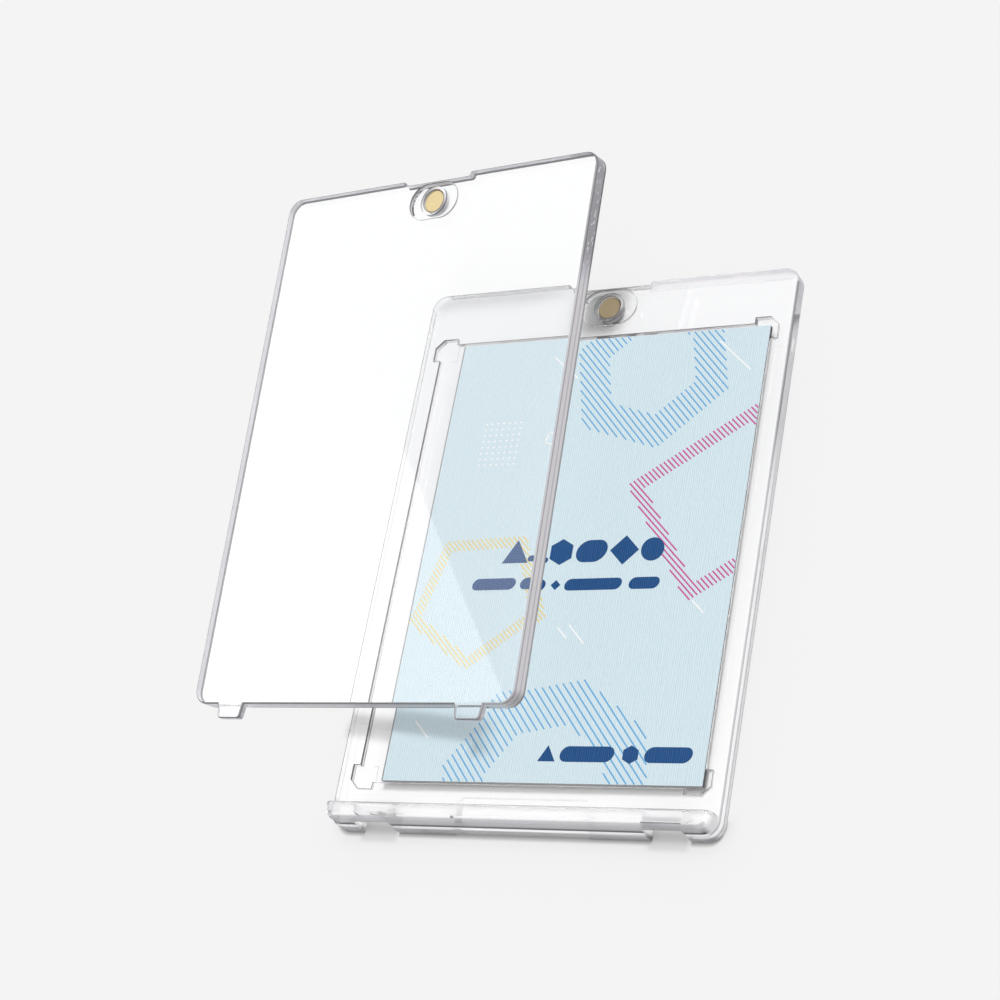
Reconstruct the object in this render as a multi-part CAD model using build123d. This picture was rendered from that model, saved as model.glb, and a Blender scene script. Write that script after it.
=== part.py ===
"""Trading card display case: a clear two-part holder for one card, closed by a pair of magnets.

Millimetres. +Z up, X across the holder, +Y towards the magnets. The origin is the centre of the
card pocket, on the plane of the base's underside, so the base rests on Z = 0.

The card lies in a shallow pocket in the base. The cover hooks two tabs under the rail at the front
of the base and snaps down onto the base's magnet. Here the cover is shown taken off, turned over
and held above the left half of the base, with its mating face up.
"""
import os

from build123d import *

# Card
card_width = 63.5
card_length = 88.9
card_thickness = 0.89

# Card pocket: a raised pad between two gutters, with a relief at each corner
pocket_play_across = 5.17
pocket_play_along = 1.0
card_side_gap = 0.125
card_end_shift = -0.09
card_recess = 0.16
gutter_width = 2.085
gutter_drop = 0.2
relief_behind_wall = 1.465
relief_over_pocket = 3.335
relief_past_end = 1.25
relief_inside_end = 3.35
relief_chamfer = 1.7

# Plates: what is left round the pocket and under it
side_wall = 4.085
back_wall = 11.39
front_wall = 4.83
pocket_floor = 1.99
corner_radius = 3.0
edge_rounding = 0.3

# Thumb notch in the middle of each back edge
notch_width = 16.2
notch_depth = 0.9
notch_inner_radius = 0.4
notch_outer_radius = 0.5

# Cover
cover_thickness = 3.3
cover_front_clearance = 0.15

# Rail standing across the front end of the base
rail_depth = 3.32
rail_above_cover = 0.1
rail_ledge = 0.35
rail_end_radius = 2.6
rail_front_rounding = 1.2
rail_back_rounding = 0.2

# Tabs on the cover and the slots they hook into
tab_inset = 9.72
tab_root_width = 6.4
tab_tip_width = 5.4
tab_length = 2.8
tab_thickness = 1.5
tab_tip_radius = 0.7
tab_edge_rounding = 0.25
slot_side_clearance = 0.5
slot_height_clearance = 0.2

# Recess for a fingertip under the front edge of the base
fingertip_width = 26.8
fingertip_reach = 6.45
fingertip_height = 1.0
fingertip_radius = 1.5

# Disc magnets, each in a boss that stands in an oval moat
magnet_diameter = 4.76
magnet_thickness = 2.38
magnet_edge_chamfer = 0.2
magnet_radial_clearance = 0.12
magnet_setback = 0.36
magnet_from_back = 5.14
boss_wall = 0.6
moat_across = 2.8
moat_along = 0.75
moat_depth = 1.0
moat_floor_chamfer = 0.25

# Where the removed cover is held: centre of its mating face, and its tilt in degrees
cover_place = (-34.54, 20.48, 15.44)
cover_tilt = (6.45, -8.07, -2.17)

# Sizes that follow from the ones above
pocket_width = card_width + pocket_play_across
pocket_length = card_length + pocket_play_along
pad_width = pocket_width - 2 * gutter_width
pad_depth = card_thickness + card_recess
gutter_depth = pad_depth + gutter_drop
plate_thickness = pocket_floor + gutter_depth
shell_width = pocket_width + 2 * side_wall
shell_back = pocket_length / 2 + back_wall
rail_back = -pocket_length / 2 - front_wall
rail_front = rail_back - rail_depth
shell_front = rail_front - rail_ledge
rail_rise = cover_thickness + rail_above_cover
tab_x = shell_width / 2 - tab_inset
slot_width = tab_root_width + 2 * slot_side_clearance
slot_roof = plate_thickness + tab_thickness + slot_height_clearance
cover_front = rail_back + cover_front_clearance
magnet_y = shell_back - magnet_from_back
bore_diameter = magnet_diameter + 2 * magnet_radial_clearance
bore_depth = magnet_setback + magnet_thickness
boss_diameter = bore_diameter + 2 * boss_wall
moat_length = boss_diameter + 2 * moat_across
moat_width = boss_diameter + 2 * moat_along
card_x = pocket_width / 2 - card_side_gap - card_width / 2
card_z = plate_thickness - pad_depth


def plate(front, back, thickness):
    """A flat plate with rounded corners, a thumb notch in its back edge and softened rims."""
    middle = (front + back) / 2
    outline = Pos(0, middle) * RectangleRounded(shell_width, back - front, corner_radius)
    outline -= Pos(0, back) * Rectangle(notch_width, 2 * notch_depth)
    inside = outline.vertices().filter_by_position(Axis.X, -notch_width, notch_width)
    inside = inside.filter_by_position(Axis.Y, back - 1.5 * notch_depth, back - 0.5 * notch_depth)
    outline = fillet(inside, notch_inner_radius)
    outside = outline.vertices().filter_by_position(Axis.X, -notch_width, notch_width)
    outside = outside.filter_by_position(Axis.Y, back - 0.1 * notch_depth, back + notch_depth)
    outline = fillet(outside, notch_outer_radius)
    solid = extrude(outline, thickness)
    rims = solid.edges().filter_by_position(Axis.Z, -0.01, 0.01)
    rims += solid.edges().filter_by_position(Axis.Z, thickness - 0.01, thickness + 0.01)
    return fillet(rims, edge_rounding)


def magnet_seat():
    """What is taken out of a mating face at Z = 0, going down: a moat round a boss, and its bore."""
    moat = extrude(SlotOverall(moat_length, moat_width), -moat_depth)
    floor_edge = moat.edges().group_by(Axis.Z)[0]
    moat = chamfer(floor_edge, moat_floor_chamfer)
    boss = extrude(Circle(boss_diameter / 2), -moat_depth)
    bore = extrude(Circle(bore_diameter / 2), -bore_depth)
    return moat - boss + bore


def disc_magnet():
    """A plated disc with its outer face at Z = 0, going down."""
    disc = extrude(Circle(magnet_diameter / 2), -magnet_thickness)
    return chamfer(disc.edges().filter_by(GeomType.CIRCLE), magnet_edge_chamfer)


def corner_relief():
    """The outline of the pocket's relief in the corner towards +X +Y."""
    width = relief_over_pocket + relief_behind_wall
    length = relief_inside_end + relief_past_end
    middle_x = pocket_width / 2 + relief_behind_wall - width / 2
    middle_y = pocket_length / 2 + relief_past_end - length / 2
    block = Pos(middle_x, middle_y) * Rectangle(width, length)
    corner = block.vertices().sort_by(Axis.Y)[-2:].sort_by(Axis.X)[-1]
    return chamfer(corner, relief_chamfer)


# ---- base shell -------------------------------------------------------------------------------
base = plate(shell_front, shell_back, plate_thickness)

rail_middle = (rail_back + rail_front) / 2
rail_width = shell_width - 2 * rail_ledge
rail_outline = Pos(0, rail_middle) * Rectangle(rail_width, rail_depth)
rail_corners = rail_outline.vertices().group_by(Axis.Y)[0]
rail_outline = fillet(rail_corners, rail_end_radius)
rail = extrude(rail_outline, rail_rise)
rail_top = rail.edges().group_by(Axis.Z)[-1]
rail = fillet(rail_top.sort_by(Axis.Y)[:-1], rail_front_rounding)
rail_rear = rail.edges().filter_by(Axis.X).sort_by(Axis.Z).group_by(Axis.Y)[-1].sort_by(Axis.Z)[-1]
rail = fillet(rail_rear, rail_back_rounding)
base += Pos(0, 0, plate_thickness) * rail

# pocket with gutters along both sides and a pad in the middle
pocket = extrude(Rectangle(pocket_width, pocket_length), -gutter_depth)
for side in (0, 1):
    for end in (0, 1):
        relief = corner_relief()
        relief = mirror(relief, Plane.YZ) if side else relief
        relief = mirror(relief, Plane.XZ) if end else relief
        pocket += extrude(relief, -gutter_depth, dir=(0, 0, 1))
base -= Pos(0, 0, plate_thickness) * pocket
pad = extrude(Rectangle(pad_width, pocket_length), gutter_depth - pad_depth)
pad_ends = pad.edges().filter_by(Axis.Y).group_by(Axis.Z)[-1]
pad = chamfer(pad_ends, (gutter_depth - pad_depth) / 2)
for side in (0, 1):
    for end in (0, 1):
        relief = corner_relief()
        relief = mirror(relief, Plane.YZ) if side else relief
        relief = mirror(relief, Plane.XZ) if end else relief
        pad -= extrude(relief, gutter_depth, dir=(0, 0, 1))
base += Pos(0, 0, plate_thickness - gutter_depth) * pad

# slots through the rail and the plate under it, each with a bar left over it
for side in (-1, 1):
    cut_depth = rail_back - shell_front + 1
    slot = Box(slot_width, cut_depth, slot_roof, align=(Align.CENTER, Align.MAX, Align.MIN))
    base -= Pos(side * tab_x, rail_back, 0) * slot

# fingertip recess under the front edge
fingertip = Pos(0, shell_front) * Rectangle(fingertip_width, 2 * fingertip_reach)
fingertip = fillet(fingertip.vertices().group_by(Axis.Y)[-1], fingertip_radius)
base -= extrude(fingertip, fingertip_height)

base -= Pos(0, magnet_y, plate_thickness) * magnet_seat()
base_magnet = Pos(0, magnet_y, plate_thickness - magnet_setback) * disc_magnet()

# ---- card -------------------------------------------------------------------------------------
card = Pos(card_x, card_end_shift, card_z) * extrude(Rectangle(card_width, card_length), card_thickness)

# ---- cover, drawn with its mating face up at Z = 0 and its middle at the origin ---------------------
half_length = (shell_back - cover_front) / 2
cover = Pos(0, 0, -cover_thickness) * plate(-half_length, half_length, cover_thickness)
tab_outline = Polygon(
    (-tab_root_width / 2, 1),
    (-tab_root_width / 2, 0),
    (-tab_tip_width / 2, -tab_length),
    (tab_tip_width / 2, -tab_length),
    (tab_root_width / 2, 0),
    (tab_root_width / 2, 1),
    align=None,
)
tab_outline = fillet(tab_outline.vertices().group_by(Axis.Y)[0], tab_tip_radius)
tab = extrude(tab_outline, -tab_thickness, dir=(0, 0, 1))
tip_edges = tab.edges().filter_by_position(Axis.Y, -tab_length - 0.1, -tab_length + 0.1)
tip_edges = tip_edges.filter_by(Axis.X)
tab = fillet(tip_edges, tab_edge_rounding)
for side in (-1, 1):
    cover += Pos(side * tab_x, -half_length, 0) * tab
seat_y = half_length - magnet_from_back
cover -= Pos(0, seat_y, 0) * magnet_seat()
cover_magnet = Pos(0, seat_y, -magnet_setback) * disc_magnet()

held = Location(cover_place, cover_tilt)
cover = held * cover
cover_magnet = held * cover_magnet

# ---- files ------------------------------------------------------------------------------------
os.makedirs("parts", exist_ok=True)
pieces = {
    "base_shell": base,
    "base_magnet": base_magnet,
    "card": card,
    "cover_shell": cover,
    "cover_magnet": cover_magnet,
}
for name, piece in pieces.items():
    solids = piece.solids()
    print(name, len(solids), round(piece.volume, 1), piece.bounding_box())
    export_step(solids[0] if len(solids) == 1 else piece, "parts/" + name + ".step")
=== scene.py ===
# %% [markdown]
# # A trading card display case
#
# The object is a clear plastic holder for one card. It has two mouldings, a base with a shallow
# pocket and a cover that hooks under a rail, and one plated disc magnet in each. The cover is off:
# it is turned over and held above the left half of the base, and a printed card lies in the pocket.
#
# The five solids come from the CAD model. Their shapes are right as they are, so they stay, and
# the work here is in the finishes, in the print on the card, and in the light that clear plastic
# needs before it can be seen at all.

import math
from types import SimpleNamespace

import bmesh
import bpy
from mathutils import Matrix, Vector


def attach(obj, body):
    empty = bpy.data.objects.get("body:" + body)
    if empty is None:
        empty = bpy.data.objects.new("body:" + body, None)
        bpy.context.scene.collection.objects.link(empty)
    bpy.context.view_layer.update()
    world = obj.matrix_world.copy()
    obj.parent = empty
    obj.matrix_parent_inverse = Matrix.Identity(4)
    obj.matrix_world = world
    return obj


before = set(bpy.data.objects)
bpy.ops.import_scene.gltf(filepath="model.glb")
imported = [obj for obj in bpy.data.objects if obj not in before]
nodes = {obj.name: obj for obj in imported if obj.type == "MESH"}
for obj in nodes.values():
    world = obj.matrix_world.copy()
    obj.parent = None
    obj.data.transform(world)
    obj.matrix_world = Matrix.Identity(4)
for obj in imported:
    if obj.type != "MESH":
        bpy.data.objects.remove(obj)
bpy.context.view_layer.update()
MM = 0.001
print("nodes:", sorted(nodes))


def new_object(name, data):
    """An object in the scene."""
    thing = bpy.data.objects.new(name, data)
    bpy.context.scene.collection.objects.link(thing)
    return thing


def mesh_of(name, shape, material):
    """A bmesh as a mesh with one material."""
    mesh = bpy.data.meshes.new(name)
    shape.to_mesh(mesh)
    shape.free()
    mesh.materials.append(material)
    return mesh


# %% [markdown]
# ## The camera
#
# The holder lies on a table and is seen from above its right front corner with a long lens. A
# camera can be aimed with a Track To constraint, but this one is also rolled, so that the table's
# edge lies at a slant. It is simpler to state its three axes as vectors and build the matrix.

# %% Camera
LENS_MM = 85.71
SENSOR_MM = 36.0
CAMERA_PLACE = Vector((199.43, -164.99, 352.93)) * MM
CAMERA_RIGHT = Vector((0.87543, 0.17492, -0.45058))
CAMERA_DOWN = Vector((-0.04064, -0.90228, -0.42923))
CAMERA_AHEAD = Vector((-0.48163, 0.39408, -0.78277))

camera_data = bpy.data.cameras.new("camera")
camera_data.lens = LENS_MM
camera_data.sensor_width = SENSOR_MM
camera_data.clip_start = 0.01
camera_data.clip_end = 20.0
camera = new_object("camera", camera_data)
turn = Matrix((CAMERA_RIGHT, -CAMERA_DOWN, -CAMERA_AHEAD)).transposed()
camera.matrix_world = Matrix.Translation(CAMERA_PLACE) @ turn.to_4x4()
bpy.context.scene.camera = camera
bpy.context.scene.view_settings.view_transform = "Standard"
print("camera at", [round(v, 3) for v in CAMERA_PLACE])

# %% [markdown]
# ## Helpers for materials
#
# A procedural finish is a tree of small sums. These helpers add nodes and join them up, so that a
# finish further down reads like the sentence that describes it. A mask is a number that is 1 in
# the places meant and 0 elsewhere, and the plastic is mostly masks made of other masks.


# %% Material helpers
LEVEL = Matrix.Identity(3)


def new_finish(name):
    """An empty material and its node tree."""
    material = bpy.data.materials.new(name)
    material.use_nodes = True
    material.node_tree.nodes.clear()
    return material, material.node_tree


def plug(tree, socket, value):
    """Joins a socket to another, or sets its own value."""
    if isinstance(value, bpy.types.NodeSocket):
        tree.links.new(value, socket)
    else:
        socket.default_value = value


def step(tree, kind, joins=None, **settings):
    """One node of that kind, with its sockets joined or set by name or number."""
    node = tree.nodes.new(kind)
    for label, value in settings.items():
        setattr(node, label, value)
    for label, value in (joins or {}).items():
        plug(tree, node.inputs[label], value)
    return node


def show(tree, shader):
    """Makes that shader the material's surface."""
    step(tree, "ShaderNodeOutputMaterial", {"Surface": shader})


def sums(tree, operation, first, second=0.0, third=None, clamp=False):
    """One Math node. Gives its output."""
    terms = {0: first, 1: second}
    if third is not None:
        terms[2] = third
    return step(tree, "ShaderNodeMath", terms, operation=operation, use_clamp=clamp).outputs[0]


def ramp(tree, value, low, high, out_low=0.0, out_high=1.0):
    """A smooth step from out_low to out_high as value goes from low to high."""
    ends = {"Value": value, "From Min": low, "From Max": high, "To Min": out_low, "To Max": out_high}
    return step(tree, "ShaderNodeMapRange", ends, interpolation_type="SMOOTHSTEP").outputs["Result"]


def blend(tree, factor, first, second):
    """A Mix node for colours."""
    colours = {"Factor": factor, 6: first, 7: second}
    return step(tree, "ShaderNodeMix", colours, data_type="RGBA").outputs[2]


def colour_of(tree, red, green, blue):
    """A Combine Color node."""
    return step(tree, "ShaderNodeCombineColor", {0: red, 1: green, 2: blue}).outputs[0]


def mixed(tree, factor, first, second):
    """A Mix Shader node: the first surface at 0 and the second at 1."""
    return step(tree, "ShaderNodeMixShader", {0: factor, 1: first, 2: second}).outputs[0]


def placed(tree, place=(0, 0, 0), turn=LEVEL):
    """Object coordinates in millimetres, seen from a frame at that place and turn (a matrix)."""
    frame_there = {
        "Vector": step(tree, "ShaderNodeTexCoord").outputs["Object"],
        "Location": [v * MM for v in place],
        "Rotation": turn.to_euler("XYZ"),
        "Scale": (MM, MM, MM),
    }
    return step(tree, "ShaderNodeMapping", frame_there, vector_type="TEXTURE").outputs["Vector"]


def split(tree, vector):
    """The three parts of a vector."""
    return step(tree, "ShaderNodeSeparateXYZ", {0: vector}).outputs


def stretched(tree, vector, scale):
    """The vector, each part multiplied by its own number."""
    return step(tree, "ShaderNodeVectorMath", {0: vector, 1: scale}, operation="MULTIPLY").outputs[0]


def dotted(tree, vector, axis):
    """How far a vector reaches along a fixed axis."""
    return step(tree, "ShaderNodeVectorMath", {0: vector, 1: axis}, operation="DOT_PRODUCT").outputs["Value"]


def within(tree, value, low, high, soft=0.05):
    """1 between two limits and 0 outside them, with soft ends."""
    rise = ramp(tree, value, low - soft, low + soft)
    return sums(tree, "MULTIPLY", rise, ramp(tree, value, high + soft, high - soft))


def all_of(tree, *masks):
    """1 only where every mask is."""
    total = masks[0]
    for mask in masks[1:]:
        total = sums(tree, "MULTIPLY", total, mask)
    return total


def any_of(tree, *masks):
    """1 where at least one mask is."""
    total = masks[0]
    for mask in masks[1:]:
        total = sums(tree, "MAXIMUM", total, mask)
    return total


def none_of(tree, mask):
    """1 where the mask is 0."""
    return sums(tree, "SUBTRACT", 1.0, mask)


def turned_to(tree, mask, first, second):
    """Goes from the first number to the second where the mask is 1."""
    if not isinstance(first, bpy.types.NodeSocket) and not isinstance(second, bpy.types.NodeSocket):
        return sums(tree, "MULTIPLY_ADD", mask, second - first, first)
    return sums(tree, "MULTIPLY_ADD", mask, sums(tree, "SUBTRACT", second, first), first)


def noise(tree, vector, scale, detail=2.0, roughness=0.5):
    """A Noise texture's height, from 0 to 1, with scale in features per millimetre."""
    look = {"Vector": vector, "Scale": scale, "Detail": detail, "Roughness": roughness}
    return step(tree, "ShaderNodeTexNoise", look).outputs["Fac"]


def relief(tree, height, depth_mm, strength=1.0):
    """A Bump node whose height of 0 to 1 stands for depth_mm."""
    size = {"Strength": strength, "Distance": depth_mm * MM, "Height": height}
    return step(tree, "ShaderNodeBump", size).outputs["Normal"]


def true_normal(tree):
    """Which way each face looks, from the mesh and not from any bump."""
    return step(tree, "ShaderNodeNewGeometry").outputs["True Normal"]


def ray(tree, kind):
    """1 for rays of that kind, such as Is Shadow Ray."""
    return step(tree, "ShaderNodeLightPath").outputs[kind]


def give(node_name, material):
    """Puts one material on a CAD node."""
    data = nodes[node_name].data
    data.materials.clear()
    data.materials.append(material)
    print(node_name, "gets", material.name)


# %% [markdown]
# ## Clear plastic
#
# The shells are injection-moulded from a clear, slightly cool polymer. In a path tracer its faces
# are a Principled shader with full transmission. Two more things make it look real.
#
# Light has to get through to the table, which shadow rays and diffuse bounces can't do through a
# refracting surface, so they meet a Transparent shader instead. Real plastic bends some light away
# from the places below its thick ends, but where that stand-in is darker it draws painted shadow: a
# band under the cover's front edge, kept only where the base lies below, and on the base painted
# shade at the foot of its front, under its slots' roofs, round its magnet and along its back.
#
# The other is the side walls: with a full index of refraction a long, thin plate traps every ray
# that enters them, and they turn black. So a wall bends light hardly at all and is a little frosted.
# One number, its tone, says how light the frost is at each spot, and a darker tone is also a denser
# frost. Apart from their random mottling, the tones and the lines they draw along the rims are
# painted shade and painted reflection, standing in for what clear walls bend and mirror.

# %% Clear plastic
SHELL_WIDTH = 76.84
COVER_LENGTH = 105.97
COVER_PLACE = (-34.54, 20.48, 15.44)
COVER_TILT = [math.radians(a) for a in (6.45, -8.07, -2.17)]
COVER_TURN = (
    Matrix.Rotation(COVER_TILT[0], 3, "X")
    @ Matrix.Rotation(COVER_TILT[1], 3, "Y")
    @ Matrix.Rotation(COVER_TILT[2], 3, "Z")
)

SHELL_IOR = 1.52
WALL_IOR = 1.06
WALL_COLOUR = (0.97, 0.97, 0.98, 1.0)
WALL_ROUGHNESS = 0.05
FACE_ROUGHNESS = 0.01
HAZE_ROUGHNESS = 0.012
FROST_ROUGHNESS = 0.35
# side walls are lit as if they leant back, so that light from above reaches their frost
FROST_LEAN = (0.0, 0.0, 1.2)
# the frost is dense up to this tone, and thinner above it
DENSE_TONE = 0.15
# red, green and blue, as shares of the tone
COOL_SHARES = (1.0, 0.975, 1.05)
# where the tint, and on the base a painted shade, goes from the front one to the back one, along the shell
TINT_ENDS = (-50.0, 50.0)

# how strongly drift and grain show in the mottling, and its shift towards the dark
DRIFT = 1.6
GRAIN = 0.9
MOTTLE_SHIFT = -0.75

# From here on, a band or span is where a thing begins and ends, and a pair of tones is for mask 0
# and 1. In any other pair the mask is 0 at the first number and 1 at the second. These say how
# squarely a face looks along an axis: up or down, aside, and endways
UPRIGHT = (0.75, 0.35)
ROUNDED = (0.998, 0.98)
LEANING = (0.97, 0.85)
NOT_ASIDE = (0.8, 0.4)
ENDWAYS = (0.4, 0.8)
# millimetres in from the nearest outer edge, and out from the middle to the right
NEAR_OUTLINE = (1.4, 1.1)
RIGHT_PART = (30.0, 33.0)


def spot_on(tree, middle, turn, half_length):
    """Where a point of a shell lies and which way it faces, in the shell's own frame."""
    spot = SimpleNamespace()
    spot.place = placed(tree, middle, turn)
    spot.across, spot.along, spot.up = split(tree, spot.place)
    spot.normal = true_normal(tree)
    spot.side, spot.end, spot.level = [
        sums(tree, "ABSOLUTE", dotted(tree, spot.normal, axis)) for axis in turn.col
    ]
    spot.wide = sums(tree, "ABSOLUTE", spot.across)
    spot.from_front = sums(tree, "ADD", spot.along, half_length)
    spot.from_back = sums(tree, "SUBTRACT", half_length, spot.along)
    from_side = sums(tree, "SUBTRACT", SHELL_WIDTH / 2, spot.wide)
    from_end = sums(tree, "MINIMUM", spot.from_front, spot.from_back)
    spot.outline = ramp(tree, sums(tree, "MINIMUM", from_side, from_end), *NEAR_OUTLINE)
    spot.right = ramp(tree, spot.across, *RIGHT_PART)
    drift = noise(tree, stretched(tree, spot.place, (0.05, 0.05, 0.1)), 1.0)
    grain = noise(tree, stretched(tree, spot.place, (0.7, 0.7, 1.4)), 1.0, 3.0, 0.6)
    grain = sums(tree, "MULTIPLY_ADD", grain, GRAIN, MOTTLE_SHIFT)
    spot.mottle = sums(tree, "MULTIPLY_ADD", drift, DRIFT, grain, clamp=True)
    return spot


def clear_plastic(name, middle, turn, half_length, tint_and_shade, paint, shadow_of):
    """Polished clear plastic. Paint says where its walls are and how they look, and shadow_of draws
    its shadow."""
    material, tree = new_finish(name)
    spot = spot_on(tree, middle, turn, half_length)
    spot.is_wall, tone, unfrosted, least_frost = paint(tree, spot)

    haze = noise(tree, spot.place, 0.05)
    face = step(tree, "ShaderNodeBsdfPrincipled", {
        "Base Color": blend(tree, ramp(tree, spot.along, *TINT_ENDS), *tint_and_shade),
        "IOR": SHELL_IOR,
        "Transmission Weight": 1.0,
        "Roughness": sums(tree, "MULTIPLY_ADD", haze, HAZE_ROUGHNESS, FACE_ROUGHNESS),
    })

    wall = step(tree, "ShaderNodeBsdfPrincipled", {
        "Base Color": WALL_COLOUR,
        "IOR": WALL_IOR,
        "Transmission Weight": 1.0,
        "Roughness": WALL_ROUGHNESS,
    })
    channels = [sums(tree, "MULTIPLY", tone, share, clamp=True) for share in COOL_SHARES]
    lean = {0: spot.side, 1: FROST_LEAN, 2: spot.normal}
    leaning = step(tree, "ShaderNodeVectorMath", lean, operation="MULTIPLY_ADD").outputs[0]
    frost = step(tree, "ShaderNodeBsdfPrincipled", {
        "Base Color": colour_of(tree, *channels),
        "Roughness": FROST_ROUGHNESS,
        "Normal": step(tree, "ShaderNodeVectorMath", {0: leaning}, operation="NORMALIZE").outputs[0],
    })
    frosted = ramp(tree, tone, DENSE_TONE, 1.0, 1.0, least_frost)
    frosted = all_of(tree, frosted, none_of(tree, unfrosted))
    side = mixed(tree, frosted, wall.outputs[0], frost.outputs[0])
    seen = mixed(tree, spot.is_wall, face.outputs[0], side)

    clear = shadow_of(tree, spot)
    shade = {"Color": colour_of(tree, clear, clear, clear)}
    through = step(tree, "ShaderNodeBsdfTransparent", shade).outputs[0]
    lighting = any_of(tree, ray(tree, "Is Shadow Ray"), ray(tree, "Is Diffuse Ray"))
    show(tree, mixed(tree, lighting, seen, through))
    return material


def steepness(tree, limit):
    """1 for light that falls nearly straight on a face, 0 for light at a slant."""
    weight = step(tree, "ShaderNodeLayerWeight", {"Blend": 0.5})
    return ramp(tree, weight.outputs["Facing"], limit * 1.12, limit * 0.88)


# %% The cover's plastic
COVER_TINT = ((0.972, 0.977, 0.983, 1.0), (0.970, 0.975, 0.981, 1.0))
COVER_LEAST_FROST = 0.85
# bands of height on its walls, in millimetres up from its mating face
COVER_BAND = SimpleNamespace(
    top_line=(-0.5, 0.1),
    middle_line=(-1.9, -1.5),
    bottom_line=(-3.4, -2.65),
    moat_line=(-0.4, 0.1),
)
# where its right wall turns dark, towards the back
DARK_PART = (26.0, 34.0)
# the wall under a tab: out from the middle, back from the front edge, and down from the mating face
TAB_SPAN = (25.7, 31.7)
TAB_FRONT = (0.4, 0.3)
TAB_BOTTOM = (-1.45, -1.6)
TAB_OPENNESS = 0.6
TAB_CLEARED = 0.5
# tones of painted shade and reflection on the cover's frosted walls
COVER_TONE = SimpleNamespace(
    mottled=(0.66, 0.90),
    light_part=1.0,
    middle_line=0.72,
    dark_part=0.42,
    speck=1.0,
    line=0.22,
    light_part_line=0.44,
    dark_part_line=0.20,
    moat=0.98,
    moat_line=0.30,
    under_tab=1.0,
)
SPECK_SIZE = (0.60, 0.64)

CLEAR_SHADOW = 0.985
# the band of painted shadow that its front edge throws on the base, kept only over the base
BAND_REACH = 4.2
BAND_CLEARNESS = 0.05
BAND_LEFT_END = (-4.4, -2.0)
BAND_RIGHT_END = (31.5, 24.5)
# only the slanting sun's light lies between these two limits of steepness
SLANT_BAND = (0.105, 0.20)


def cover_paint(tree, spot):
    """Two dark lines along every edge, darker still at the back of the right side, in painted shade and
    reflection.
    """
    up = spot.up
    top_line = within(tree, up, *COVER_BAND.top_line, 0.1)
    lines = any_of(tree, top_line, within(tree, up, *COVER_BAND.bottom_line, 0.1))
    towards_back = ramp(tree, spot.along, *DARK_PART)
    dark_part = all_of(tree, spot.right, towards_back)
    light_part = all_of(tree, spot.right, none_of(tree, towards_back))

    middle_line = within(tree, up, *COVER_BAND.middle_line, 0.1)
    light_body = turned_to(tree, middle_line, COVER_TONE.light_part, COVER_TONE.middle_line)
    specks = noise(tree, stretched(tree, spot.place, (1.0, 0.45, 1.0)), 1.3, 2.0, 0.6)
    dark_body = turned_to(tree, ramp(tree, specks, *SPECK_SIZE), COVER_TONE.dark_part, COVER_TONE.speck)
    body = turned_to(tree, spot.mottle, *COVER_TONE.mottled)
    body = turned_to(tree, light_part, body, light_body)
    body = turned_to(tree, dark_part, body, dark_body)
    line = turned_to(tree, light_part, COVER_TONE.line, COVER_TONE.light_part_line)
    line = turned_to(tree, dark_part, line, COVER_TONE.dark_part_line)
    outer = turned_to(tree, lines, body, line)
    moat_line = within(tree, up, *COVER_BAND.moat_line, 0.1)
    inner = turned_to(tree, moat_line, COVER_TONE.moat, COVER_TONE.moat_line)

    at_tab = within(tree, spot.wide, *TAB_SPAN)
    under_tab = all_of(
        tree, at_tab, ramp(tree, spot.from_front, *TAB_FRONT), ramp(tree, up, *TAB_BOTTOM)
    )
    tone = turned_to(tree, under_tab, turned_to(tree, spot.outline, inner, outer), COVER_TONE.under_tab)
    rims = all_of(tree, ramp(tree, spot.level, *ROUNDED), lines)
    is_wall = any_of(tree, ramp(tree, spot.level, *UPRIGHT), rims)
    is_wall = all_of(tree, is_wall, none_of(tree, all_of(tree, under_tab, TAB_OPENNESS)))
    return is_wall, tone, all_of(tree, under_tab, TAB_CLEARED), COVER_LEAST_FROST


def cover_shadow(tree, spot):
    """A painted shadow, darker for slanting light in a band at the front, only where the base lies below."""
    band = ramp(tree, spot.from_front, BAND_REACH / 2, BAND_REACH, BAND_CLEARNESS, CLEAR_SHADOW)
    steeper, flatter = [steepness(tree, limit) for limit in SLANT_BAND]
    slant = sums(tree, "SUBTRACT", flatter, steeper, clamp=True)
    slant = all_of(tree, slant, none_of(tree, ray(tree, "Is Diffuse Ray")))
    band = turned_to(tree, slant, CLEAR_SHADOW, band)
    left_end = ramp(tree, spot.across, *BAND_LEFT_END)
    over_base = all_of(tree, left_end, ramp(tree, spot.across, *BAND_RIGHT_END))
    return turned_to(tree, over_base, 1.0, band)


give("cover_shell", clear_plastic(
    "clear_cover_plastic", COVER_PLACE, COVER_TURN, COVER_LENGTH / 2, COVER_TINT, cover_paint, cover_shadow,
))

# %% The base's plastic
BASE_MIDDLE = (0, 1.445, 0)
BASE_LENGTH = 109.8
# towards its back the base is darker: painted shade that offsets the sheen panel it mirrors there
BASE_TINT_AND_SHADE = ((1.0, 1.0, 1.0, 1.0), (0.926, 0.930, 0.939, 1.0))
BASE_LEAST_FROST = 0.50
# bands of height on its walls, in millimetres up from its underside
BASE_BAND = SimpleNamespace(
    middle_line=(1.25, 1.6),
    gap=(1.75, 2.85),
    pocket_line=(1.9, 2.12),
    wide_rim=(2.65, 3.3),
    left_rim=(2.72, 3.3),
    rim=(2.95, 3.3),
    ledge=(2.95, 3.27),
    ledge_line=(3.28, 4.15),
    slot_roof=(4.84, 5.04),
    rail_rear=(6.4, 6.7),
)
# heights at which something begins or ends
BASE_HEIGHT = SimpleNamespace(
    recess=(1.05, 1.0),
    upper_half=(1.5, 1.8),
    far_side=(2.65, 2.55),
    edge_shade=(3.1, 3.2),
    skirt=(3.3, 3.2),
    rail_front=(3.9, 6.3),
    slot=(5.1, 5.0),
    rail_top=(6.5, 6.6),
)
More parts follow.
